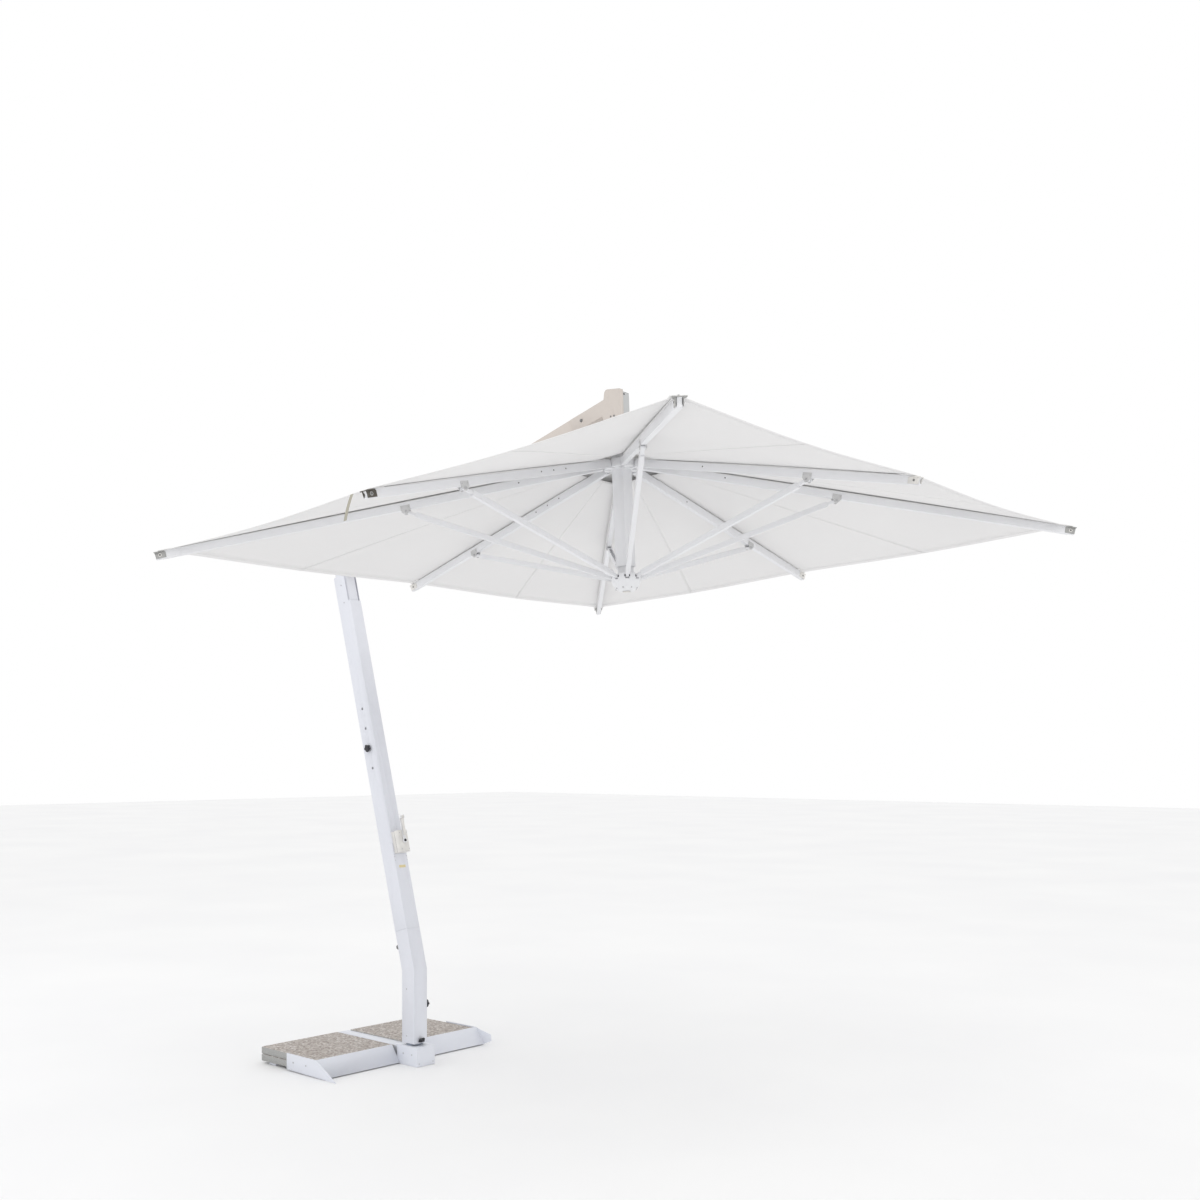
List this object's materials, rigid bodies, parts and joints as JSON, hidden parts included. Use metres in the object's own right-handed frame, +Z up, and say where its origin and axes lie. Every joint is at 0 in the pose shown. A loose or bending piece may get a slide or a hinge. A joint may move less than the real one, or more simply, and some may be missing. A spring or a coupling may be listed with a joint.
{
  "type": "cantilever parasol",
  "caption": "Square cantilever parasol: leaning swivel mast with crank and height slide, side arm, folding ribs and struts, fabric canopy, and a slab-weighted base.",
  "frame": {"origin": "on the floor, on the axis that the mast swivels about", "axes": "+X towards the canopy at rest, +Z up, +Y completes a right-handed frame"},
  "size_m": [3.6448, 3.0094, 3.332],
  "materials": {
    "mast_paint": "white powder coat, satin",
    "arm_paint": "warm white powder coat, satin",
    "base_paint": "white powder coat, satin",
    "rib_paint": "white powder coat, satin",
    "pole_aluminium": "satin anodised",
    "steel": "zinc plated",
    "concrete": "washed gravel concrete",
    "cloth": "woven, matt",
    "black_plastic": "moulded, fine grain",
    "white_plastic": "moulded, fine grain"
  },
  "bodies": {
    "base": {"base_frame": "base_paint", "socket_box": "base_paint", "swivel_spigot": "steel", "slab_left_lower": "concrete", "slab_left_upper": "concrete", "slab_right_lower": "concrete", "slab_right_upper": "concrete", "skirt_left": "base_paint", "skirt_right": "base_paint"},
    "mast": {"mast_foot": "mast_paint", "swivel_ring": "black_plastic", "swivel_bush_lower": "black_plastic", "swivel_bush_upper": "black_plastic", "mast_joint_sleeve": "pole_aluminium", "mast_column": "mast_paint", "mast_clamp_screw": "steel", "guide_bush": "white_plastic", "crank_housing": "white_plastic"},
    "pedal": {"lock_pedal": "black_plastic"},
    "swivel_knob": {"swivel_lock_knob": "black_plastic"},
    "height_knob": {"height_lock_knob": "black_plastic"},
    "crank": {"winch_drum": "white_plastic", "crank_shaft": "steel", "crank_arm": "steel"},
    "grip": {"crank_grip": "white_plastic"},
    "boom": {"inner_mast": "mast_paint", "slide_shoe": "white_plastic", "mast_cap": "white_plastic", "arm_beam": "arm_paint", "head_plate_left": "arm_paint", "head_plate_right": "arm_paint", "canopy_pole": "pole_aluminium", "upper_hub": "white_plastic"},
    "mast_wheel": {"mast_pulley": "white_plastic"},
    "head_wheel": {"head_pulley": "white_plastic"},
    "runner": {"runner": "white_plastic"},
    "rib_mast_side": {"rib_mast_side": "rib_paint", "canopy_mast_side": "cloth"},
    "strut_mast_side": {"strut_mast_side": "rib_paint"},
    "rib_mast_left": {"rib_mast_left": "rib_paint", "canopy_mast_left": "cloth"},
    "strut_mast_left": {"strut_mast_left": "rib_paint"},
    "rib_left": {"rib_left": "rib_paint", "canopy_left": "cloth"},
    "strut_left": {"strut_left": "rib_paint"},
    "rib_outer_left": {"rib_outer_left": "rib_paint", "canopy_outer_left": "cloth"},
    "strut_outer_left": {"strut_outer_left": "rib_paint"},
    "rib_outer": {"rib_outer": "rib_paint", "canopy_outer": "cloth"},
    "strut_outer": {"strut_outer": "rib_paint"},
    "rib_outer_right": {"rib_outer_right": "rib_paint", "canopy_outer_right": "cloth"},
    "strut_outer_right": {"strut_outer_right": "rib_paint"},
    "rib_right": {"rib_right": "rib_paint", "canopy_right": "cloth"},
    "strut_right": {"strut_right": "rib_paint"},
    "rib_mast_right": {"rib_mast_right": "rib_paint", "canopy_mast_right": "cloth"},
    "strut_mast_right": {"strut_mast_right": "rib_paint"}
  },
  "joints": [
    {"name": "mast_swivel", "type": "hinge", "parent": "base", "child": "mast", "pos_m": [0, 0, 0.1], "axis": [0, 0, 1], "continuous": true},
    {"name": "pedal_tip", "type": "hinge", "parent": "mast", "child": "pedal", "pos_m": [0.0504, 0, 0.118], "axis": [0, 1, 0], "range_deg": [0, 25], "stiffness_Nm_per_rad": 0.6, "springref_deg": -28.65},
    {"name": "swivel_knob_turn", "type": "hinge", "parent": "mast", "child": "swivel_knob", "pos_m": [0.008, 0.0745, 0.31], "axis": [0, 1, 0], "continuous": true},
    {"name": "height_knob_turn", "type": "hinge", "parent": "mast", "child": "height_knob", "pos_m": [-0.3287, -0.055, 1.68426], "axis": [0, -1, 0], "continuous": true},
    {"name": "height_slide", "type": "slide", "parent": "mast", "child": "boom", "axis": [-0.2672, 0, 0.9636], "range_m": [-0.113, 0.226]},
    {"name": "crank_turn", "type": "hinge", "parent": "mast", "child": "crank", "pos_m": [-0.18306, 0, 1.15909], "axis": [0.9636, 0, 0.2672], "continuous": true},
    {"name": "grip_fold", "type": "hinge", "parent": "crank", "child": "grip", "pos_m": [-0.10409, 0, 1.31589], "axis": [0, -1, 0], "range_deg": [0, 90]},
    {"name": "mast_wheel_turn", "type": "hinge", "parent": "boom", "child": "mast_wheel", "pos_m": [-0.61011, 0, 2.69897], "axis": [0, 1, 0], "continuous": true},
    {"name": "head_wheel_turn", "type": "hinge", "parent": "boom", "child": "head_wheel", "pos_m": [1.44822, 0, 3.20269], "axis": [0, 1, 0], "continuous": true},
    {"name": "rib_fold_mast_side", "type": "hinge", "parent": "boom", "child": "rib_mast_side", "pos_m": [1.39809, 0, 2.97476], "axis": [0, -1, 0], "range_deg": [0, 70.39], "deforming": ["canopy_mast_side"]},
    {"name": "strut_fold_mast_side", "type": "hinge", "parent": "rib_mast_side", "child": "strut_mast_side", "pos_m": [0.48145, 0, 2.6658], "axis": [0, -1, 0], "range_deg": [-140.81, 0]},
    {"name": "rib_fold_mast_left", "type": "hinge", "parent": "boom", "child": "rib_mast_left", "pos_m": [1.41622, -0.04384, 2.97571], "axis": [0.7061, -0.7071, 0.037], "range_deg": [0, 73.47], "deforming": ["canopy_mast_left"]},
    {"name": "strut_fold_mast_left", "type": "hinge", "parent": "rib_mast_left", "child": "strut_mast_left", "pos_m": [0.76916, -0.70169, 2.75272], "axis": [0.7061, -0.7071, 0.037], "range_deg": [-138.97, 0]},
    {"name": "rib_fold_left", "type": "hinge", "parent": "boom", "child": "rib_left", "pos_m": [1.46, -0.062, 2.978], "axis": [0.9986, 0, 0.0523], "range_deg": [0, 70.39], "deforming": ["canopy_left"]},
    {"name": "strut_fold_left", "type": "hinge", "parent": "rib_left", "child": "strut_left", "pos_m": [1.47364, -0.99354, 2.7178], "axis": [0.9986, 0, 0.0523], "range_deg": [-140.81, 0]},
    {"name": "rib_fold_outer_left", "type": "hinge", "parent": "boom", "child": "rib_outer_left", "pos_m": [1.50378, -0.04384, 2.98029], "axis": [0.7061, 0.7071, 0.037], "range_deg": [0, 73.47], "deforming": ["canopy_outer_left"]},
    {"name": "strut_fold_outer_left", "type": "hinge", "parent": "rib_outer_left", "child": "strut_outer_left", "pos_m": [2.17061, -0.70169, 2.82617], "axis": [0.7061, 0.7071, 0.037], "range_deg": [-138.97, 0]},
    {"name": "rib_fold_outer", "type": "hinge", "parent": "boom", "child": "rib_outer", "pos_m": [1.52191, 0, 2.98124], "axis": [0, 1, 0], "range_deg": [0, 70.37], "deforming": ["canopy_outer"]},
    {"name": "strut_fold_outer", "type": "hinge", "parent": "rib_outer", "child": "strut_outer", "pos_m": [2.46582, 0, 2.7698], "axis": [0, 1, 0], "range_deg": [-140.81, 0]},
    {"name": "rib_fold_outer_right", "type": "hinge", "parent": "boom", "child": "rib_outer_right", "pos_m": [1.50378, 0.04384, 2.98029], "axis": [-0.7061, 0.7071, -0.037], "range_deg": [0, 73.47], "deforming": ["canopy_outer_right"]},
    {"name": "strut_fold_outer_right", "type": "hinge", "parent": "rib_outer_right", "child": "strut_outer_right", "pos_m": [2.17061, 0.70169, 2.82617], "axis": [-0.7061, 0.7071, -0.037], "range_deg": [-138.97, 0]},
    {"name": "rib_fold_right", "type": "hinge", "parent": "boom", "child": "rib_right", "pos_m": [1.46, 0.062, 2.978], "axis": [-0.9986, 0, -0.0523], "range_deg": [0, 70.39], "deforming": ["canopy_right"]},
    {"name": "strut_fold_right", "type": "hinge", "parent": "rib_right", "child": "strut_right", "pos_m": [1.47364, 0.99354, 2.7178], "axis": [-0.9986, 0, -0.0523], "range_deg": [-140.81, 0]},
    {"name": "rib_fold_mast_right", "type": "hinge", "parent": "boom", "child": "rib_mast_right", "pos_m": [1.41622, 0.04384, 2.97571], "axis": [-0.7061, -0.7071, -0.037], "range_deg": [0, 73.47], "deforming": ["canopy_mast_right"]},
    {"name": "strut_fold_mast_right", "type": "hinge", "parent": "rib_mast_right", "child": "strut_mast_right", "pos_m": [0.76916, 0.70169, 2.75272], "axis": [-0.7061, -0.7071, -0.037], "range_deg": [-138.97, 0]},
    {"name": "runner_level", "type": "hinge", "parent": "strut_outer", "child": "runner", "pos_m": [1.54918, 0, 2.46106], "axis": [0, 1, 0], "range_deg": [0, 70.44]}
  ],
  "couplings": [
    {"joint": "rib_fold_mast_side", "follows": "rib_fold_outer", "ratio": 1},
    {"joint": "strut_fold_mast_side", "follows": "rib_fold_outer", "ratio": -2.0002},
    {"joint": "rib_fold_mast_left", "follows": "rib_fold_outer", "ratio": 1.0437},
    {"joint": "strut_fold_mast_left", "follows": "rib_fold_outer", "ratio": -1.9741},
    {"joint": "rib_fold_left", "follows": "rib_fold_outer", "ratio": 1},
    {"joint": "strut_fold_left", "follows": "rib_fold_outer", "ratio": -2.0002},
    {"joint": "rib_fold_outer_left", "follows": "rib_fold_outer", "ratio": 1.0437},
    {"joint": "strut_fold_outer_left", "follows": "rib_fold_outer", "ratio": -1.9741},
    {"joint": "strut_fold_outer", "follows": "rib_fold_outer", "ratio": -2.0002},
    {"joint": "rib_fold_outer_right", "follows": "rib_fold_outer", "ratio": 1.0437},
    {"joint": "strut_fold_outer_right", "follows": "rib_fold_outer", "ratio": -1.9741},
    {"joint": "rib_fold_right", "follows": "rib_fold_outer", "ratio": 1},
    {"joint": "strut_fold_right", "follows": "rib_fold_outer", "ratio": -2.0002},
    {"joint": "rib_fold_mast_right", "follows": "rib_fold_outer", "ratio": 1.0437},
    {"joint": "strut_fold_mast_right", "follows": "rib_fold_outer", "ratio": -1.9741},
    {"joint": "runner_level", "follows": "rib_fold_outer", "ratio": 1.0002},
    {"joint": "crank_turn", "follows": "rib_fold_outer", "ratio": 62},
    {"joint": "mast_wheel_turn", "follows": "rib_fold_outer", "ratio": 60.374},
    {"joint": "head_wheel_turn", "follows": "rib_fold_outer", "ratio": 63.728}
  ]
}
